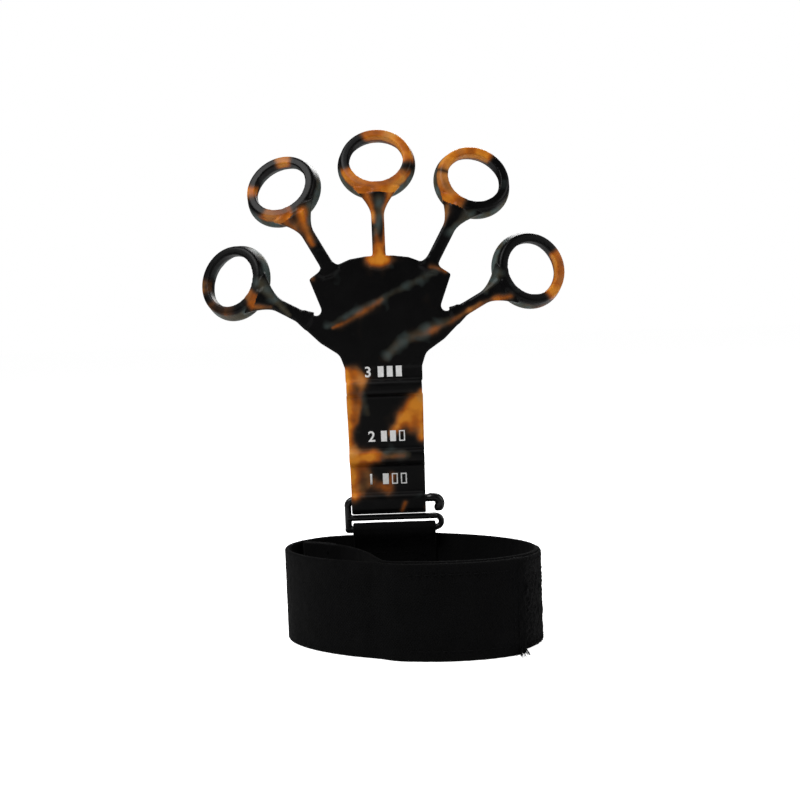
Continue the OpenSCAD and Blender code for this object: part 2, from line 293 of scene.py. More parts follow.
def cloth_material(name, dark, light, pitch, fuzz, sheen):
    """Woven or brushed tape: dark yarn with a rib every pitch metres and a nap."""
    mat, n = new_material(name)
    cloth = n.field("cloth")["Vector"]
    part = n.node("ShaderNodeSeparateXYZ", Vector=cloth)
    along = n.math("SINE", n.math("MULTIPLY", part.outputs["X"], 2 * math.pi / pitch))
    across = n.math("SINE", n.math("MULTIPLY", part.outputs["Y"], 2 * math.pi / pitch * 0.8))
    weave = n.math("MULTIPLY", along, across)
    nap = n.noise(cloth, 2200.0, 4.0, 0.7)
    wear = n.noise(cloth, 90.0, 4.0)
    fluff, worn = n.math("MULTIPLY", nap["Fac"], 0.7), n.math("MULTIPLY", wear["Fac"], 0.5)
    both = n.math("ADD", fluff, worn)
    colour = n.ramp(both, [(0.40, dark), (0.80, light)])
    normal = n.bump(nap["Fac"], fuzz, 0.0004, n.bump(weave, 0.35, 0.0002))
    n.wire(Base_Color=colour, Roughness=0.92, Specular_IOR_Level=0.08, Sheen_Weight=sheen,
           Sheen_Roughness=0.5, Normal=normal)
    return mat


def plain_noise_material(name, dark, light, rough, scale):
    mat, n = new_material(name)
    at = n.field()["Vector"]
    spots = n.noise(at, scale, 3.0)
    n.wire(Base_Color=n.ramp(spots["Fac"], [(0.3, dark), (0.7, light)]), Roughness=rough,
           Specular_IOR_Level=0.1, Normal=n.bump(spots["Fac"], 0.15, 0.0001))
    return mat


SILICONE = silicone_material()
PLASTIC = plastic_material()
WEBBING = cloth_material("strap_webbing_weave", (0.0010, 0.0010, 0.0011), (0.0034, 0.0034, 0.0036),
                         0.0011, 0.5, 0.02)
PILE_MAT = cloth_material("loop_pile", (0.0014, 0.0014, 0.0015), (0.0062, 0.0062, 0.0065), 0.0014, 1.0, 0.05)
HOOK_MAT = cloth_material("hook_tape", (0.002, 0.002, 0.002), (0.006, 0.006, 0.006), 0.0009, 0.4, 0.03)
THREAD = plain_noise_material("sewing_thread", (0.0014, 0.0014, 0.0015), (0.0048, 0.0048, 0.005),
                              0.85, 3000.0)
PRINT = plain_noise_material("white_print", (0.80, 0.80, 0.79), (0.94, 0.94, 0.93), 0.5, 900.0)


# ---- silicone: one moulding, later parted where the fingers bend and stretch ----
def finger_point(name, dist, back=0.0, side=0.0):
    """A point beside a finger's line: dist from the fan point, back along +Y, side across the line."""
    a = math.radians(FINGERS[name][0])
    c, s = math.cos(a), math.sin(a)
    return np.array([dist * c - side * s, WEB_Y + back, FAN_Z + dist * s + side * c])


def ring_frame(name):
    """Centre, outward, sideways and front vectors of a finger's loop."""
    a, lean = math.radians(FINGERS[name][0]), math.radians(FINGERS[name][3])
    e = np.array([math.cos(a), 0, math.sin(a)])
    side = np.array([-math.sin(a), 0, math.cos(a)])
    out = e * math.cos(lean) + np.array([0, math.sin(lean), 0])
    front = e * math.sin(lean) - np.array([0, math.cos(lean), 0])
    return finger_point(name, FINGERS[name][2]) + (LOOP_R - 0.6) * out - 0.6 * front, out, side, front


def loft(bm, rings):
    made = [[bm.verts.new(Vector(p) * MM) for p in ring] for ring in rings]
    count = len(made[0])
    for a, b in zip(made, made[1:]):
        for i in range(count):
            bm.faces.new((a[i], a[(i + 1) % count], b[(i + 1) % count], b[i]))
    bm.faces.new(made[0][::-1])
    bm.faces.new(made[-1])


def rounded_ring(place, half_a, half_b, r, per_corner=4):
    """Points of a rounded rectangle; place turns (a, b) into a point."""
    ring = []
    for q, (sa, sb) in enumerate(((1, 1), (-1, 1), (-1, -1), (1, -1))):
        for k in range(per_corner + 1):
            t = math.radians(90 * q + 90 * k / per_corner)
            ring.append(place(sa * (half_a - r) + r * math.cos(t), sb * (half_b - r) + r * math.sin(t)))
    return ring


VOXEL, BUCKLE_VOXEL = 0.00040, 0.00022
WELD = 2e-6             # points of the CAD's meshes nearer than this are one
STEM_ROUND = 1.3
WIDER_T = 0.25          # a finger's thickness grows by this share of its width's growth


def finger_profile(root, neck):
    """Places along a finger, and how far each side stands out past the stem's there."""
    return [(root - 7, 1.5), (root - 4, 0.6), (root - 2.6, 0.15), (root - 1, 0),
            (neck - FLARE, 0), (neck - 3, 0.5), (neck + 0.6, 1.4)]


def moulding(bm):
    """The CAD's silicone nodes, joined by what the CAD leaves open for the joints, and softened details."""
    for name in ["palm_fan", "resistance_band"] + [f"{k}_{f}" for k in ("stem", "loop") for f in FINGERS]:
        bm.from_mesh(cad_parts[name].data)
    bmesh.ops.remove_doubles(bm, verts=bm.verts, dist=WELD)
    for name, (_, root, neck, _) in FINGERS.items():
        rings = []
        for dist, wide in finger_profile(root, neck):
            rings.append(rounded_ring(lambda a, b, d=dist: finger_point(name, d, a, b),
                                      STEM_T / 2 + wide * WIDER_T, STEM_W / 2 + wide, STEM_ROUND))
        loft(bm, rings)
    # the palm runs on into the band
    rings = []
    for z in (NECK_Z - 2, NECK_Z + 2):
        rings.append(rounded_ring(lambda a, b, z=z: np.array([a, WEB_Y + b, z]), BAND_W / 2 - 0.05, BAND_T / 2, 1.0))
    loft(bm, rings)


def remeshed(bm, voxel, rounds):
    """One skin round all that is in bm, with softened edges, as a new mesh."""
    mesh = bpy.data.meshes.new("raw")
    bm.to_mesh(mesh)
    bm.free()
    obj = link("raw", mesh)
    made = obj.modifiers.new("skin", "REMESH")
    made.mode, made.voxel_size, made.adaptivity = "VOXEL", voxel, 0
    soft = obj.modifiers.new("soft", "SMOOTH")
    soft.factor, soft.iterations = 0.5, rounds
    skin = bpy.data.meshes.new_from_object(obj.evaluated_get(bpy.context.evaluated_depsgraph_get()))
    bpy.data.objects.remove(obj)
    return skin


def cut_places(name):
    """Where a finger is parted: before its hinge, after it, and below its loop's flare."""
    _, root, neck, _ = FINGERS[name]
    first, last = root - 2.0, neck - FLARE - 0.4
    return first, first + 0.5 * (last - first), last


CUT_REACH = 7           # the cuts reach this far from a finger's line
SCRAP = 60              # fewer faces than this aren't a part


def parted(skin):
    """Cuts the skin across the stems and returns its points, normals and the faces of each part."""
    bm = bmesh.new()
    bm.from_mesh(skin)
    cut_edges = set()
    for name in FINGERS:
        normal = Vector(finger_point(name, 1) - finger_point(name, 0))
        for dist in cut_places(name):
            spot = Vector(finger_point(name, dist)) * MM
            near = [f for f in bm.faces if (f.verts[0].co - spot).length < CUT_REACH * MM]
            around = {g for f in near for g in (*f.edges, *f.verts)}
            made = bmesh.ops.bisect_plane(bm, geom=[*near, *around], plane_co=spot, plane_no=normal,
                                          dist=1e-8)
            cut_edges |= {g for g in made["geom_cut"] if isinstance(g, bmesh.types.BMEdge)}
    bm.normal_update()
    bm.verts.ensure_lookup_table()
    bm.verts.index_update()
    bm.faces.index_update()
    co = np.array([v.co for v in bm.verts]) / MM
    normals = np.array([v.normal for v in bm.verts])
    groups, seen = [], set()
    for start in bm.faces:
        if start.index in seen:
            continue
        todo, group = [start], []
        seen.add(start.index)
        while todo:
            f = todo.pop()
            group.append(tuple(v.index for v in f.verts))
            for e in f.edges:
                if e in cut_edges:
                    continue
                for g in e.link_faces:
                    if g.index not in seen:
                        seen.add(g.index)
                        todo.append(g)
        groups.append(group)
    bm.free()
    groups.sort(key=len, reverse=True)
    parts = {"web": groups[0]}
    for group in groups[1:]:
        if len(group) < SCRAP:
            continue
        mean = co[sorted({v for f in group for v in f})].mean(0)
        angle = math.degrees(math.atan2(mean[2] - FAN_Z, mean[0]))
        name = min(FINGERS, key=lambda k: abs(FINGERS[k][0] - angle))
        _, b, c = cut_places(name)
        away = math.hypot(mean[0], mean[2] - FAN_Z)
        parts[(name, "loop" if away > c else "outer" if away > b else "inner")] = group
    return co, normals, parts


# streaks of the marbling: tone strength, then (x, z, half width) along each, seen from the front
AMBER = [
    # pad under the middle finger, and the palm's swirls
    (0.90, [(-3, 149.6, 3.0), (3, 149.6, 3.0)]),
    (0.86, [(0, 150.5, 3.4), (0, 154, 2.6)]),
    (0.66, [(-20, 122.7, 1.0), (-12, 126.0, 2.0), (-6, 129.5, 2.3), (0.5, 133.4, 1.5)]),
    (0.66, [(20.5, 145.5, 1.5), (26.5, 144.0, 1.5)]),
    (0.50, [(-27.5, 142.8, 1.6)]),
    (0.62, [(-17.5, 151.0, 1.1), (-14.5, 151.8, 1.0)]),
    (0.40, [(2, 110.5, 2.2), (6, 114.5, 2.6), (13, 118.0, 2.6), (20, 120.5, 2.4)]),
    (0.62, [(20, 120.2, 1.8), (28, 123.4, 1.8), (34, 126.6, 1.6), (40, 129.6, 1.6)]),
    # the band's left edge, all the way down
    (1.00, [(-15.2, 104.8, 2.6), (-14.8, 100.0, 3.8), (-14.8, 93.0, 3.2), (-15.2, 84.0, 2.6), (-15.2, 77.0, 2.6),
            (-14.6, 71.5, 3.6), (-14.6, 66.0, 3.8), (-14.2, 60.0, 4.2), (-14.2, 54.5, 3.6)]),
    (0.80, [(-11.5, 104.2, 3.0), (-8.6, 101.6, 2.4)]),
    (0.64, [(-9.0, 98.5, 2.2), (-10.5, 91.0, 2.0), (-12.0, 84.0, 1.6)]),
    # filled patch at its right edge
    (1.00, [(15.4, 95.4, 2.0), (14.4, 90.0, 3.8), (14.2, 83.0, 3.8), (14.8, 77.0, 2.8)]),
    (0.98, [(12.5, 91.0, 3.6), (8.6, 87.0, 3.4), (5.2, 82.4, 2.6), (2.4, 78.4, 2.0)]),
    (0.74, [(9.6, 86.0, 3.6), (10.4, 80.0, 2.4)]),
    # ridge of the lower spare tunnel, and the swirls round the last mark
    (0.92, [(-12, 69.8, 3.0), (-4.5, 69.8, 2.6)]),
    (0.64, [(-4.5, 69.8, 2.4), (2.0, 69.6, 2.0), (7.0, 69.8, 1.6)]),
    (0.66, [(-9.0, 64.5, 3.4), (-5.5, 58.0, 3.6), (0.5, 56.0, 3.0), (2.0, 61.5, 2.2)]),
    (0.72, [(6.8, 50.4, 1.4), (5.4, 46.8, 1.4)]),
    (0.66, [(15.2, 48.4, 1.4)]),
]
ASH = [
    (0.40, [(-22, 123.2, 1.2), (-12, 128.2, 1.6), (2, 134.2, 1.6), (12, 139.0, 1.8), (22, 143.6, 1.6)]),
    (0.50, [(2, 110.8, 2.0), (6, 114.8, 2.4), (13, 118.4, 2.8), (20, 121.2, 2.4), (27, 124.0, 1.8)]),
    (0.45, [(-10, 95, 1.8), (-7, 87, 1.6)]),
    (0.50, [(0, 70.2, 2.0), (9, 70.2, 1.8)]),
]
# streaks on the fingers: finger, strength, then (distance from the fan point, side, half width)
FINGER_AMBER = [
    ("middle", 0.60, [(45, 0.4, 2.0), (52, 0.8, 1.0)]),
    ("middle", 0.86, [(46, -2.4, 0.9), (52, -2.4, 0.8), (58, -2.6, 1.0)]),
    ("middle", 0.84, [(55, 1.4, 1.4), (61, 2.4, 2.4), (66, 4.0, 2.8)]),
    ("middle", 0.80, [(60, -2.6, 1.6), (66, -5.0, 2.2)]),
    ("index", 0.90, [(54, 0.6, 2.0), (60, -0.4, 2.8), (67, -2.2, 3.4)]),
    ("index", 0.66, [(64, 4.0, 2.6), (69, 6.0, 2.4)]),
    ("little", 0.66, [(40.5, -1.4, 1.6), (46, -1.8, 1.6), (52, -2.6, 1.8)]),
    ("little", 0.84, [(51, -3.0, 1.3), (57, -5.2, 1.8)]),
    ("thumb", 0.66, [(50, 2.0, 1.4), (57, 5.4, 1.8)]),
    ("ring", 0.56, [(59, 2.4, 1.4), (66, 4.4, 2.0)]),
]
FINGER_ASH = [
    ("middle", 0.66, [(51, 0.6, 1.6), (57, -0.6, 1.8), (64, -1.0, 2.0)]),
    ("thumb", 0.66, [(42, 1.4, 1.2), (50, -1.4, 1.6), (58, -4.5, 2.6)]),
    ("ring", 0.70, [(58, -2.0, 1.8), (66, -5.0, 3.0)]),
    ("index", 0.70, [(62, -4.0, 1.6), (67, -6.5, 2.4)]),
    ("little", 0.66, [(50, 2.6, 1.6), (57, 5.4, 2.4)]),
]
# colours round each loop: strength, clock angles in degrees seen from the front, and from back (-1) to front (1)
LOOP_AMBER = {
    "middle": [(1.00, -28, 96, 0.1, 1), (0.66, -24, 100, -1, 0.1), (0.90, 104, 264, 0.15, 1)],
    "ring": [(1.00, -72, 42, 0.0, 1), (0.86, 200, 292, 0.1, 1), (0.62, -60, 36, -1, 0.0)],
    "little": [(1.00, 52, 150, 0.0, 1), (0.78, 56, 146, -1, 0.0), (0.55, 150, 196, -0.6, 0.4)],
    "index": [(0.98, -16, 20, 0, 1), (0.96, 256, 284, 0, 1), (0.80, 148, 226, 0.1, 1)],
    "thumb": [(0.66, 248, 282, 0, 1), (0.72, 112, 150, -0.5, 1), (0.48, 176, 240, 0.0, 1)],
}
# the grey spans on the back half of each loop's wall are painted sheen: they stand in for light caught on the loops'
# outer walls
LOOP_PAINTED_SHEEN = {
    "middle": [(0.95, 104, 176, -1, 0.1), (0.90, 184, 262, -1, 0.1), (0.55, 60, 104, -1, -0.3)],
    "ring": [(0.98, 104, 192, -1, 0.1), (0.78, 204, 296, -1, 0.0)],
    "little": [(0.90, 176, 330, -1, 0.2), (0.60, 330, 400, -1, -0.1)],
    "index": [(0.95, 24, 136, -1, 0.1), (0.90, 182, 256, -1, 0.1), (0.5, 284, 340, -1, -0.1)],
    "thumb": [(0.95, 16, 120, -1, 0.1), (0.85, 150, 250, -1, 0.5), (0.5, 284, 360, -1, 0.0)],
}
WINDOW = 12.0           # degrees over which a loop's colour fades along the loop
FACE_FADE = 0.35        # and how far it fades across it, where the loop's half length is 1
FADE, FADE_POWER = 0.80, 1.8        # how a streak fades away from its middle line


def streak_field(co, streaks):
    """Tone from the streaks: each fades softly from its middle line, and where they meet they add up."""
    left = np.ones(len(co))
    p = co[:, [0, 2]]
    for strength, line in streaks:
        line = line if len(line) > 1 else line * 2
        tone = np.zeros(len(co))
        for (x0, z0, w0), (x1, z1, w1) in zip(line, line[1:]):
            a, d = np.array([x0, z0]), np.array([x1 - x0, z1 - z0])
            t = np.clip(((p - a) @ d) / max(d @ d, 1e-9), 0, 1)
            away = np.linalg.norm(p - a - t[:, None] * d, axis=1) / (w0 + (w1 - w0) * t)
            tone = np.maximum(tone, strength * np.exp(-FADE * away ** FADE_POWER))
        left *= 1 - tone
    return 1 - left


def loop_field(co, spans):
    """Tone round the loops, from the spans of each."""
    field = np.zeros(len(co))
    for name, arcs in spans.items():
        centre, out, _, front = ring_frame(name)
        rel = co - centre
        near = np.linalg.norm(rel, axis=1) < LOOP_R + 1.8
        near &= (rel @ out) > -LOOP_R + 0.4
        clock = np.degrees(np.arctan2(rel[:, 0], rel[:, 2]))
        face = (rel @ front) / (LOOP_LEN / 2)
        for strength, start, stop, back, fore in arcs:
            middle, half = (start + stop) / 2, (stop - start) / 2
            off = np.abs((clock - middle + 180) % 360 - 180)
            here = 1 - smoothstep((off - half + WINDOW) / (2 * WINDOW))
            here = here * smoothstep((face - back + FACE_FADE) / (2 * FACE_FADE))
            here = here * (1 - smoothstep((face - fore - 0.2 + FACE_FADE) / (2 * FACE_FADE)))
            field = np.maximum(field, np.where(near, strength * here, 0))
    return field


def on_fingers(streaks):
    """The fingers' streaks, turned into streaks of the web's plane."""
    return [(strength, [(*finger_point(name, dist, 0, side)[[0, 2]], w) for dist, side, w in line])
            for name, strength, line in streaks]


# amber and grey streaks of the marbling; on the loops the grey is painted sheen
def marbling(co):
    return {
        "amber": np.maximum(streak_field(co, AMBER + on_fingers(FINGER_AMBER)), loop_field(co, LOOP_AMBER)),
        "ash": np.maximum(streak_field(co, ASH + on_fingers(FINGER_ASH)), loop_field(co, LOOP_PAINTED_SHEEN)),
    }


def blend_stem(obj):
    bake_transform(obj)


def build_silicone():
    bm = bmesh.new()
    moulding(bm)
    co, normals, parts = parted(remeshed(bm, VOXEL, 5))
    fields = marbling(co)
    web = piece("web_moulding", co, parts["web"], SILICONE, normals, fields)
    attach(web, "hand_web")
    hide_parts("palm_fan", "resistance_band")
    for name in FINGERS:
        inner = piece(f"stem_root_{name}", co, parts[(name, "inner")], SILICONE, normals, fields)
        outer = piece(f"stem_elastic_{name}", co, parts[(name, "outer")], SILICONE, normals, fields)
        loop = piece(f"finger_loop_{name}", co, parts[(name, "loop")], SILICONE, normals, fields)
        blend_stem(inner)
        blend_stem(outer)
        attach(loop, f"{name}_cuff")
        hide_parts(f"stem_{name}")
        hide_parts(f"loop_{name}")
    return web


web = build_silicone()


# ---- marks of the three pulls: a numeral and a gauge of three bars ----
MARKS = ((3, 104.2, 0.6), (2, 77.8, 0.9), (1, 60.2, 1.0))       # value, height, shift to the right
MARK_H, MARK_LEFT = 4.4, 8.2
BAR_W, BAR_PITCH, BARS_FROM, BAR_LINE = 2.4, 3.7, 5.2, 0.45
PROUD, SUNK = 0.05, 0.25        # how far the print stands out of the band, and how deep it goes in


def add_numeral(bm, value, left, low):
    text = bpy.data.curves.new("numeral", "FONT")
    text.body, text.size, text.offset = str(value), 1.0, 0.02
    text.resolution_u = 4
    drawn = link("numeral", text)
    bm.from_mesh(bpy.data.meshes.new_from_object(drawn.evaluated_get(bpy.context.evaluated_depsgraph_get())))
    bpy.data.objects.remove(drawn)
    lo = Vector([min(v.co[i] for v in bm.verts) for i in range(3)])
    hi = Vector([max(v.co[i] for v in bm.verts) for i in range(3)])
    size = MARK_H * MM / (hi.y - lo.y)
    for v in bm.verts:
        v.co = Vector((left + (v.co.x - lo.x) * size, 0, low + (v.co.y - lo.y) * size))


def add_bar(bm, x0, x1, z0, z1, filled):
    corners = [(x0, z0), (x1, z0), (x1, z1), (x0, z1)]
    if filled:
        bm.faces.new([bm.verts.new((a, 0, b)) for a, b in corners])
        return
    t = BAR_LINE * MM
    inner = [(x0 + t, z0 + t), (x1 - t, z0 + t), (x1 - t, z1 - t), (x0 + t, z1 - t)]
    o, i = ([bm.verts.new((a, 0, b)) for a, b in ring] for ring in (corners, inner))
    for q in range(4):
        bm.faces.new((o[q], o[(q + 1) % 4], i[(q + 1) % 4], i[q]))


def lay_on_band(bm, surface):
    """Gives the flat shapes in bm a thickness and lays them on the band's front."""
    long_edges = [e for e in bm.edges if e.calc_length() > 0.8 * MM]
    bmesh.ops.subdivide_edges(bm, edges=long_edges, cuts=3, use_grid_fill=True)
    bmesh.ops.triangulate(bm, faces=bm.faces)
    bmesh.ops.recalc_face_normals(bm, faces=bm.faces)
    front = list(bm.faces)
    if sum(f.normal.y * f.calc_area() for f in front) > 0:
        bmesh.ops.reverse_faces(bm, faces=front)
    made = bmesh.ops.extrude_face_region(bm, geom=front)
    moved = {g for g in made["geom"] if isinstance(g, bmesh.types.BMVert)}
    for v in bm.verts:
        hit = surface.ray_cast(Vector((v.co.x, -0.05, v.co.z)), Vector((0, 1, 0)))
        base = hit[0].y if hit[0] else (WEB_Y - BAND_T / 2) * MM
        v.co.y = base - PROUD * MM if v in moved else base + SUNK * MM
    bmesh.ops.recalc_face_normals(bm, faces=bm.faces)


def build_marks():
    surface = BVHTree.FromObject(web, bpy.context.evaluated_depsgraph_get())
    for value, z, x in MARKS:
        bm = bmesh.new()
        left, low, high = (x - MARK_LEFT) * MM, (z - MARK_H / 2) * MM, (z + MARK_H / 2) * MM
        add_numeral(bm, value, left, low)
        for k in range(3):
            at = BARS_FROM + k * BAR_PITCH
            add_bar(bm, left + at * MM, left + (at + BAR_W) * MM, low, high, k < value)
        lay_on_band(bm, surface)
        mesh = bpy.data.meshes.new(f"pull_mark_{value}")
        bm.to_mesh(mesh)
        bm.free()
        layer = mesh.attributes.new("rest", "FLOAT_VECTOR", "POINT")
        layer.data.foreach_set("vector", np.array([v.co for v in mesh.vertices], np.float32).ravel())
        mesh.materials.append(PRINT)
        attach(link(f"pull_mark_{value}", mesh), "hand_web")


build_marks()


# ---- buckle ----
CROOK_X, CROOK_Z, CROOK_RISE, CROOK_FAT = 15.7, 46.3, 1.8, 0.42


def build_buckle():
    bm = bmesh.new()
    bm.from_mesh(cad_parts["hook_buckle"].data)
    bmesh.ops.remove_doubles(bm, verts=bm.verts, dist=WELD)
    skin = remeshed(bm, BUCKLE_VOXEL, 6)
    # the open crook is moulded a little fatter than the bar inside the tunnel
    for v, way in zip(skin.vertices, [n.vector.copy() for n in skin.vertex_normals]):
        if v.co.z > CROOK_Z * MM and way.z > -0.75:
            v.co += way * float(CROOK_FAT * MM * smoothstep((v.co.x / MM - CROOK_X) / CROOK_RISE))
    skin.shade_smooth()
    skin.name = "moulded_buckle"
    skin.materials.clear()
    skin.materials.append(PLASTIC)
    buckle = link("moulded_buckle", skin)
    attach(buckle, "buckle")
    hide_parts("hook_buckle")


build_buckle()


# ---- wrist strap ----
def smin(a, b, k):
    """The smaller of two, with a rounded change over k."""
    return np.minimum(a, b) - np.maximum(k - np.abs(a - b), 0) ** 2 / k / 4


def oval(u):
    """The strap's outline seen from above, with a flat at its rear."""
    u = np.radians(np.asarray(u, float))
    c, s = math.cos(math.radians(OVAL_TURN)), math.sin(math.radians(OVAL_TURN))
    px, py = OVAL_A * np.cos(u), OVAL_B * np.sin(u)
    return np.stack([OVAL_X + px * c - py * s, WEB_Y + smin(OVAL_Y + px * s + py * c, REAR_Y, 2)], -1)


def outward(u):
    t = oval(np.asarray(u) + 0.5) - oval(np.asarray(u) - 0.5)
    return unit(np.stack([t[..., 1], -t[..., 0]], -1))


CLIMB_FROM, CLIMB_OVER = 150, 65     # angles over which the wall moves out to where its outer end lies


def climb(u):
    return OUTER_IN * smoothstep((np.asarray(u, float) - CLIMB_FROM) / CLIMB_OVER)


def bezier(c, t):
    t = np.asarray(t, float)[:, None]
    return (1 - t) ** 3 * c[0] + 3 * t * (1 - t) ** 2 * c[1] + 3 * t * t * (1 - t) * c[2] + t ** 3 * c[3]


def flat_to_3d(p, n):
    zero = np.zeros(len(p))
    return np.column_stack([p, zero]), np.column_stack([n, zero])


def path_normals(p):
    t = np.gradient(p, axis=0)
    return unit(np.stack([t[:, 1], -t[:, 0]], -1))


def ribbon_section(half, low, high, corner, rows):
    """Points round a tape's section: (offset along the normal, place across the tape)."""
    faces = np.linspace(low + corner, high - corner, rows)
    round_up = np.radians(np.linspace(0, 180, 7)[1:-1])
    pts = [(half, v) for v in faces]
    pts += [(half * math.cos(a), high - corner + corner * math.sin(a)) for a in round_up]
    pts += [(-half, v) for v in faces[::-1]]
    pts += [(-half * math.cos(a), low + corner - corner * math.sin(a)) for a in round_up]
    return np.array(pts)


def soft_noise(rng, shape, rounds):
    n = rng.normal(size=shape)
    for _ in range(rounds):
        n = (n + np.roll(n, 1, 0) + np.roll(n, -1, 0) + np.roll(n, 1, 1) + np.roll(n, -1, 1)) / 5
    return n / n.std()


def ribbon(mid, normal, half, low, high, rows, seed, fuzz, axis=(0, 0, 1), corner=0.7, wave=0.0):
    """A closed tape along mid: its points, quads, cloth coordinates and how many points go round it."""
    axis = np.array(axis, float)
    section = ribbon_section(1, low, high, corner, rows)
    n, k = len(mid), len(section)
    co = np.zeros((n, k, 3))
    run = np.concatenate([[0], np.cumsum(np.linalg.norm(np.diff(mid, axis=0), axis=1))])
    cloth = np.zeros((n, k, 3))
    for i in range(n):
        s = ribbon_section(half, low, high, corner, rows)
        co[i] = mid[i] + s[:, :1] * normal[i] + s[:, 1:] * axis
        cloth[i] = np.column_stack([np.full(k, run[i]), s[:, 1], s[:, 0]])
    rng = np.random.default_rng(seed)
    rough = soft_noise(rng, (n, k), 1) * fuzz
    face = np.sign(section[:, 0]) * (np.abs(section[:, 0]) > 0.4)
    edge = np.where(section[:, 1] > (low + high) / 2, 1, -1) * (1 - np.abs(face))
    co += (rough * face)[..., None] * normal[:, None, :] + (rough * edge * 1.3)[..., None] * axis
    co[..., 2] = np.maximum(co[..., 2], 0)
    if wave:
        bends = max(4, n // 14)
        swing = np.interp(np.arange(n), np.linspace(0, n - 1, bends), rng.normal(size=bends))
        lean = (section[:, 1] - low) / (high - low)
        co += (swing[:, None] * wave * lean[None, :])[..., None] * normal[:, None, :]
    index = np.arange(n * k).reshape(n, k)
    nxt = np.roll(index, -1, 1)
    quads = np.stack([index[:-1], index[1:], nxt[1:], nxt[:-1]], -1).reshape(-1, 4)
    return co.reshape(-1, 3), quads, cloth.reshape(-1, 3) * MM, k


def tape(parts, mid, normal, half, low, high, rows, seed, fuzz, material, **more):
    """Makes a tape as pieces that share their end rings. parts are (name, first station, last station)."""
    co, quads, cloth, k = ribbon(mid, normal, half, low, high, rows, seed, fuzz, **more)
    # turn the quads outwards
    c = co[quads]
    volume = (np.cross(c[:, 1], c[:, 2]) * c[:, 0]).sum() + (np.cross(c[:, 2], c[:, 3]) * c[:, 0]).sum()
    if volume < 0:
        quads = quads[:, ::-1]
    normals = quad_normals(co, quads)
    made = []
    station = quads.min(1) // k
    for part, first, last in parts:
        rows_here = [tuple(int(v) for v in q) for q, s in zip(quads, station) if first <= s < last]
        made.append(piece(part, co, rows_here, material, normals, {"cloth": cloth}))
    return made


def whole_tape(name, mid, *sizes, **more):
    return tape([(name, 0, len(mid) - 1)], mid, *sizes, **more)[0]


def add_tube(faces, base, rings, sides):
    """Faces of a closed tube whose points start at base, ring after ring."""
    for i in range(rings - 1):
        for k in range(sides):
            a, b = base + i * sides + k, base + i * sides + (k + 1) % sides
            faces.append((a, a + sides, b + sides, b))
    faces.append(tuple(base + k for k in range(sides)))
    faces.append(tuple(base + (rings - 1) * sides + k for k in range(sides - 1, -1, -1)))


def thread(name, stitches):
    """Short stitches that dip into the cloth at both ends; each is (place, direction, outward normal)."""
    rings, sides = 6, 6
    co, faces = [], []
    for place, way, out in stitches:
        side = np.cross(way, out)
        base = len(co)
        for t in np.linspace(-1, 1, rings):
            centre = place + way * t * STITCH / 2 + out * THREAD_R * (0.55 - 1.5 * t * t)
            r = THREAD_R * math.sqrt(max(0.15, 1 - 0.75 * t * t))
            for k in range(sides):
                a = 2 * math.pi / sides * k
                co.append(centre + r * (math.cos(a) * out + math.sin(a) * side))
        add_tube(faces, base, rings, sides)
    obj = piece(name, np.array(co), faces, THREAD, cap=False)
    fix_normals(obj)
    return obj


def wall_points(u, offset):
    """Points on the strap's wall at angles u, offset mm outwards, and the normals there."""
    p, n = oval(u) + (climb(u) + offset)[:, None] * outward(u), outward(u)
    return flat_to_3d(p, n)


def row_on_wall(u0, u1, offset, z):
    """Stitches along the strap at height z."""
    p, n = wall_points(np.arange(u0, u1, 0.25), offset)
    run = np.concatenate([[0], np.cumsum(np.linalg.norm(np.diff(p, axis=0), axis=1))])
    found = []
    for s in np.arange(STITCH_PITCH / 2, run[-1], STITCH_PITCH):
        i = int(np.searchsorted(run, s))
        way = unit(p[min(i + 1, len(p) - 1)] - p[i - 1])
        found.append((p[i] + np.array([0, 0, z]), way, n[i]))
    return found


def column(place, out, z0, z1):
    """Stitches up the strap's face at a place."""
    return [(place + np.array([0, 0, z]), np.array([0, 0, 1.0]), out) for z in np.arange(z0, z1, STITCH_PITCH)]


def column_on_wall(u, offset, z0, z1):
    p, n = wall_points(np.array([u]), offset)
    return column(p[0], n[0], z0, z1)


STEP_FROM, STEP_OVER = 259, 14          # and over which it steps up onto the inner ply


def free_offset(u):
    """Middle of the outer ply over the wall's own curve."""
    return -PLY / 2 + PLY * smoothstep((u - STEP_FROM) / STEP_OVER)


def blend_free(obj):
    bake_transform(obj)


def fit(obj, slot, *nodes, body="wrist_strap"):
    """Gives a piece its body, or leaves it in place without one where body is None, and hides the CAD nodes that it
    stands for; slot is not used.
    """
    if body:
        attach(obj, body)
    else:
        blend_free(obj)
    if nodes:
        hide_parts(*nodes)


LAP_STEPS, FLAP_FROM, LAP_SEWN = 90, 0.84, 0.875    # the last two are shares of the lap's curve


def lap_curve():
    """The loose inner lap, from where it leaves the wall to its fold."""
    start = oval(LEAVE_U) - PLY / 2 * outward(LEAVE_U)
    lead = np.array([outward(LEAVE_U)[1], -outward(LEAVE_U)[0]])
    return [start, start + 9 * lead, np.array([-4, WEB_Y - 17]), np.array([-33.8, WEB_Y - 6])]


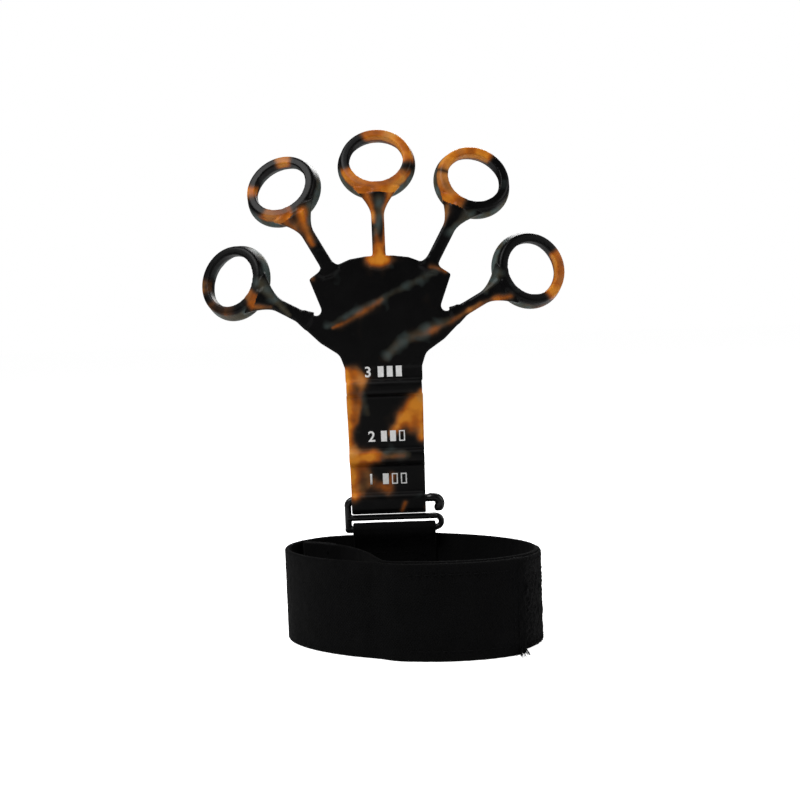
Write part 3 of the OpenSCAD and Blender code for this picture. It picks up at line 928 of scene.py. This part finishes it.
def build_band():
    """One tape: folded inner end, loose inner lap, the wall all round, and the free end."""
    curve, half = lap_curve(), PLY / 2
    share = np.linspace(1, 0, LAP_STEPS)
    lap = bezier(curve, share)
    lap_n = path_normals(lap)
    lap = lap + (half * smoothstep((share - 0.78) / 0.08))[:, None] * lap_n
    tip, tip_n = bezier(curve, [1.0])[0], lap_n[0]
    way = np.array([-tip_n[1], tip_n[0]])
    turn = np.radians(np.linspace(0, 180, 9))[1:-1][::-1]
    fold = np.array([tip + half * (math.cos(a) * tip_n - math.sin(a) * way) for a in turn])
    flap = bezier(curve, np.linspace(FLAP_FROM, 1, 14))
    flap = flap - half * path_normals(flap[::-1])[::-1]
    u_wall = np.arange(LEAVE_U + 1, PEEL_U - 8 + 0.01, 1.0)
    u_free = np.arange(PEEL_U - 7, END_U + 0.01, 0.8)
    wall = oval(u_wall) + (climb(u_wall) - half)[:, None] * outward(u_wall)
    free = oval(u_free) + (climb(u_free) + free_offset(u_free))[:, None] * outward(u_free)
    mid = np.concatenate([flap, fold, lap, wall, free])
    mid, normal = flat_to_3d(mid, path_normals(mid))
    split = len(mid) - len(free)
    band, free_end = tape([("wrist_band", 0, split), ("free_end_band", split, len(mid) - 1)], mid, normal,
                          half - 0.02, 0, STRAP_H, 44, 11, 0.05, WEBBING, wave=0.12)
    fit(band, "webbing", "strap_webbing", "inner_lap", "inner_end_hem")
    fit(free_end, "webbing", "strap_free_end", body=None)


def build_pile():
    """Loop pile on the outside of the right end."""
    low = 0.8
    p, n = wall_points(np.arange(LEAVE_U + 4, 40.01, 0.6), PILE / 2)
    pile = whole_tape("loop_pile_facing", p, n, PILE / 2, low, STRAP_H - low, 70, 5, 0.15, PILE_MAT, corner=0.35)
    fit(pile, "pile", "pile_facing")
    rows = [s for z in (2.6, STRAP_H - 2.6) for s in row_on_wall(-86, 38, PILE + 0.05, z)]
    rows += column_on_wall(38.2, PILE + 0.05, 3.5, STRAP_H - 3)
    fit(thread("pile_stitching", rows), "thread", "pile_stitches")


def build_patch():
    """Hook tape inside the free end: its base lies on the band and its hooks point at the pile."""
    base, low = -0.22, 2
    u = np.arange(PEEL_U + 4, END_U - 3.9, 0.8)
    p, n = wall_points(u, base)
    patch = whole_tape("hook_tape_patch", p, n, -base - 0.02, low, STRAP_H - low, 30, 9, 0.02, HOOK_MAT, corner=0.15)
    fit(patch, "hook_tape", "hook_patch", body=None)
    fit(build_hooks(u, 2 * base), "hook_tape", body=None)
    rows = [s for z in (4.0, STRAP_H - 4.0) for s in row_on_wall(275, END_U - 4, PLY + 0.02, z)]
    rows += column_on_wall(END_U - 4.2, PLY + 0.02, 4.5, STRAP_H - 4)
    fit(thread("patch_stitching", rows), "thread", "patch_stitches", body=None)


def build_hooks(u, offset):
    """Rows of small bent hooks on the patch's inner face."""
    rings, sides = 5, 4
    co, faces = [], []
    p, n = wall_points(np.arange(u[0] + 1.5, u[-1] - 1, 1.9), offset)
    for i, (at, out) in enumerate(zip(p, n)):
        way = np.array([-out[1], out[0], 0])
        for z in np.arange(3.2 + 0.4 * (i % 2), STRAP_H - 3, 1.5):
            base = len(co)
            for t in np.linspace(0, 1, rings):
                a, r = t * math.radians(150), 0.13 * (1 - 0.35 * t)
                centre = at - out * (0.02 + 0.30 * math.sin(a * 0.62)) + way * 0.26 * (1 - math.cos(a))
                for k in range(sides):
                    c, up = r * math.cos(math.pi / 2 * k), r * math.sin(math.pi / 2 * k)
                    flat = c * way * math.cos(a) + c * -out * math.sin(a) * 0.6
                    co.append(centre + flat + np.array([0, 0, z + up]))
            add_tube(faces, base, rings, sides)
    obj = piece("hook_rows", np.array(co), faces, PLASTIC, cap=False)
    fix_normals(obj)
    return obj


def build_binding():
    """The binding over the outer end, and the yarns that have come loose below it."""
    thick = PLY + 0.3
    p, n = wall_points(np.arange(END_U - 1.6, END_U + 2.41, 0.4), (thick - HOOK_PLY / 2) / 2)
    hem = whole_tape("free_end_binding", p, n, (thick + HOOK_PLY / 2) / 2, LIFT, STRAP_H, 50, 21, 0.10, WEBBING,
                     corner=0.9)
    fit(hem, "webbing", "free_end_hem", body="free_end")
    fit(build_fray(), "thread", body="free_end")


def build_inner_sewing():
    """Sewing across the folded inner end, on both of its faces."""
    here = bezier(lap_curve(), [LAP_SEWN - 0.01, LAP_SEWN, LAP_SEWN + 0.01])
    rows = []
    for side in (1, -1):
        out = path_normals(here)[1] * side
        rows += column(np.array([*(here[1] + out * (PLY + 0.02)), 0]), np.array([*out, 0]), 3, STRAP_H - 2)
    fit(thread("inner_end_stitching", rows), "thread")


def fix_normals(obj):
    bm = bmesh.new()
    bm.from_mesh(obj.data)
    bmesh.ops.recalc_face_normals(bm, faces=bm.faces)
    bm.to_mesh(obj.data)
    bm.free()


def strand(co, faces, points, r0, r1, sides=5):
    """Adds a thin closed strand along points."""
    base, n = len(co), len(points)
    way = unit(np.gradient(points, axis=0))
    for i in range(n):
        side = unit(np.cross(way[i], [0.3, 0.2, 0.93]))
        up = np.cross(side, way[i])
        r = r0 + (r1 - r0) * i / (n - 1)
        for k in range(sides):
            a = 2 * math.pi * k / sides
            co.append(points[i] + r * (math.cos(a) * side + math.sin(a) * up))
    for i in range(n - 1):
        for k in range(sides):
            a, b = base + i * sides + k, base + i * sides + (k + 1) % sides
            faces.append((a, b, b + sides, a + sides))
    faces.append(tuple(base + k for k in range(sides - 1, -1, -1)))
    faces.append(tuple(base + (n - 1) * sides + k for k in range(sides)))


def build_fray():
    """Loose yarns at the lower corner of the outer end."""
    rng = np.random.default_rng(8)
    co, faces = [], []
    p, n = wall_points(np.array([END_U - 1.0, END_U + 2.2]), np.full(2, PLY * 0.6))
    for _ in range(26):
        s = rng.uniform()
        root = p[0] + (p[1] - p[0]) * s + np.array([0, 0, LIFT + rng.uniform(0.5, 3.2)])
        reach = rng.uniform(2.0, 5.2)
        drift = n[0] * rng.uniform(0.3, 1.0) + np.array([-n[0][1], n[0][0], 0]) * rng.uniform(-0.9, 0.5)
        t = np.linspace(0, 1, 7)[:, None]
        points = root + drift * reach * t + np.array([0, 0, -1.0]) * (root[2] - 0.35) * t ** 1.6
        points[:, 2] = np.maximum(points[:, 2], 0.22)
        points += rng.normal(scale=0.10, size=points.shape) * t
        strand(co, faces, points, 0.17, 0.09)
    return piece("frayed_yarns", np.array(co), faces, THREAD, cap=False)


# ---- webbing tab: one tape folded round the buckle's lower bar and sewn to the strap ----
TAB_W, TAB_X, TAB_PLY, TAB_FOOT = 34.0, 1.9, 1.1, 8.0
BOX_HALF = 12


def spline(points, count):
    """A smooth line through points."""
    p = np.array(points, float)
    p = np.vstack([2 * p[0] - p[1], p, 2 * p[-1] - p[-2]])
    found = []
    for i in range(1, len(p) - 2):
        for t in np.linspace(0, 1, count, endpoint=False):
            a, b, c, d = p[i - 1:i + 3]
            bend = (2 * a - 5 * b + 4 * c - d) * t * t + (3 * b - a - 3 * c + d) * t ** 3
            found.append(0.5 * (2 * b + (c - a) * t + bend))
    return np.array(found + [p[-2]])


def build_tab():
    r = PIN_R + 0.1 + TAB_PLY / 2
    back = REAR_Y - PLY - TAB_PLY / 2 - 0.02
    inner = back - TAB_PLY
    # the fold's line: (from the web's plane, height), up the strap, round the bar and down again
    line = [(back, TAB_FOOT), (back, 20), (back, 30), (back - 0.1, 34), (r + 0.15, 36.8)]
    line += [(r * math.cos(a), PIN_Z + r * math.sin(a)) for a in np.radians(np.linspace(0, 180, 9))]
    line += [(-r + 0.15, 37.4), (-0.9, 35.3), (0.7, 32.6), (inner, 29.6), (inner, 20), (inner, TAB_FOOT + 0.3)]
    yz = spline(line, 5)
    t, zero = unit(np.gradient(yz, axis=0)), np.zeros(len(yz))
    mid = np.column_stack([zero, WEB_Y + yz[:, 0], yz[:, 1]])
    normal = np.column_stack([zero, t[:, 1], -t[:, 0]])
    tab = whole_tape("sewn_tab", mid, normal, TAB_PLY / 2 - 0.03, TAB_X - TAB_W / 2, TAB_X + TAB_W / 2, 36, 31,
                     0.03, WEBBING, axis=(1, 0, 0), corner=0.5)
    fit(tab, "webbing", "buckle_tab")
    fit(thread("tab_stitching", box_of_stitches(inner)), "thread", "tab_stitches")


def box_of_stitches(inner):
    """A box with a cross, seen on the tab's front and on the strap's back."""
    x0, x1, z0, z1 = TAB_X - BOX_HALF, TAB_X + BOX_HALF, TAB_FOOT + 3, TAB_FOOT + 21
    corners = [(x0, z0), (x1, z0), (x1, z1), (x0, z1)]
    sides = [*zip(corners, corners[1:] + corners[:1]), (corners[0], corners[2]), (corners[1], corners[3])]
    rows = []
    for y, out in ((WEB_Y + inner - TAB_PLY / 2, -1), (WEB_Y + REAR_Y + 0.02, 1)):
        for (ax, az), (bx, bz) in sides:
            a, b = np.array([ax, y, az]), np.array([bx, y, bz])
            way, run = unit(b - a), np.linalg.norm(b - a)
            for s in np.arange(STITCH_PITCH / 2, run - 0.5, STITCH_PITCH):
                spot = a + way * s
                if out > 0:
                    spot[1] = WEB_Y + rear_wall(spot[0]) + 0.03
                rows.append((spot, way, np.array([0, out, 0.0])))
    return rows


def rear_wall(x):
    """How far the strap's rear lies behind the web's plane at x."""
    u = np.arange(60, 125, 0.5)
    p = oval(u)
    return float(np.interp(x, p[::-1, 0], p[::-1, 1])) - WEB_Y


for build in (build_band, build_pile, build_patch, build_binding, build_inner_sewing, build_tab):
    build()


# ---- stage ----
FLOOR_GLOW, FLOOR_HALF, SKY_LIGHT = 0.95, 20.0, 0.05


def build_stage():
    mesh = bpy.data.meshes.new("floor")
    mesh.from_pydata([(x, y, 0) for y in (-FLOOR_HALF, FLOOR_HALF) for x in (-FLOOR_HALF, FLOOR_HALF)], [],
                     [(0, 1, 3, 2)])
    mat, n = new_material("pale_floor")
    speck = n.node("ShaderNodeTexNoise", Scale=40.0)
    tint = n.ramp(speck.outputs["Fac"], [(0, (0.90, 0.90, 0.905)), (1, (0.93, 0.93, 0.93))])
    # the floor shows white, like what is behind it
    seen = n.node("ShaderNodeLightPath").outputs["Is Camera Ray"]
    n.wire(Base_Color=tint, Roughness=0.9, Specular_IOR_Level=0.1, Emission_Color=(1, 1, 1, 1),
           Emission_Strength=n.math("MULTIPLY", seen, FLOOR_GLOW))
    mesh.materials.append(mat)
    link("floor", mesh)


def area_light(name, place, target, size, power):
    data = bpy.data.lights.new(name, "AREA")
    data.shape, data.size, data.energy = "DISK", size, power
    lamp = link(name, data)
    lamp.location = place
    lamp.rotation_mode = "QUATERNION"
    lamp.rotation_quaternion = (Vector(target) - Vector(place)).to_track_quat("-Z", "Y")


def build_light():
    world = bpy.data.worlds.new("soft_white")
    world.use_nodes = True
    tree = world.node_tree
    sky = tree.nodes["Background"]
    sky.inputs["Color"].default_value = (1, 1, 1, 1)
    # white behind the object, dim as a light on it
    strength = tree.nodes.new("ShaderNodeMapRange")
    strength.inputs["To Min"].default_value, strength.inputs["To Max"].default_value = SKY_LIGHT, 1.0
    tree.links.new(tree.nodes.new("ShaderNodeLightPath").outputs["Is Camera Ray"], strength.inputs["Value"])
    tree.links.new(strength.outputs["Result"], sky.inputs["Strength"])
    scene.world = world
    area_light("key", (-0.45, -0.35, 0.85), (0, 0.02, 0.10), 0.70, 7.5)
    area_light("side", (0.75, -0.15, 0.45), (0, 0.02, 0.12), 0.60, 1.8)
    area_light("back", (0.15, 0.65, 0.60), (0, 0.02, 0.12), 0.40, 3)
    scene.view_settings.view_transform = "Standard"


build_stage()
build_light()
